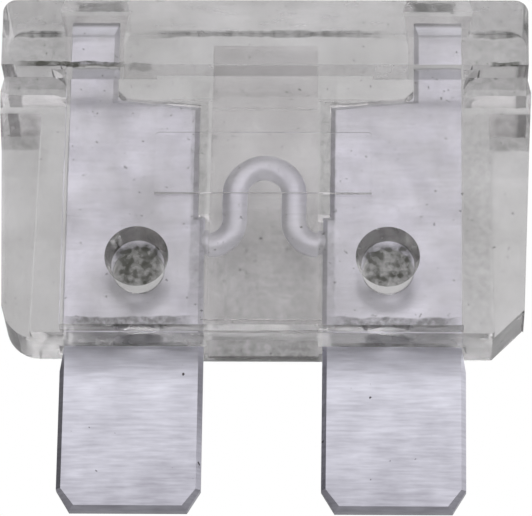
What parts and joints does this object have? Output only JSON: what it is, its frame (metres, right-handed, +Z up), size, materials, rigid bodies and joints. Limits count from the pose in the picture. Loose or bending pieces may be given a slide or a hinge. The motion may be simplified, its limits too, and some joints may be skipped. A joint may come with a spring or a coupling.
{
  "type": "automotive blade fuse",
  "caption": "Plug-in blade fuse: a clear moulded housing with a wide head and thin side wings over a flat stamped metal element with two blades, test tabs and an arched fuse link.",
  "frame": {"origin": "midway between the two blades, level with their tips", "axes": "+Z up from the blade tips to the head, X across both blades, -Y out of the front with the label pad"},
  "size_m": [0.0192, 0.0052, 0.0186],
  "materials": {
    "clear_plastic": "clear injection-moulded plastic, lightly scuffed, with soiled edges",
    "zinc": "stamped zinc alloy sheet, finely grained, with small pits and scratches"
  },
  "bodies": {
    "root": {"housing": "clear_plastic", "fuse_element": "zinc"}
  },
  "joints": []
}
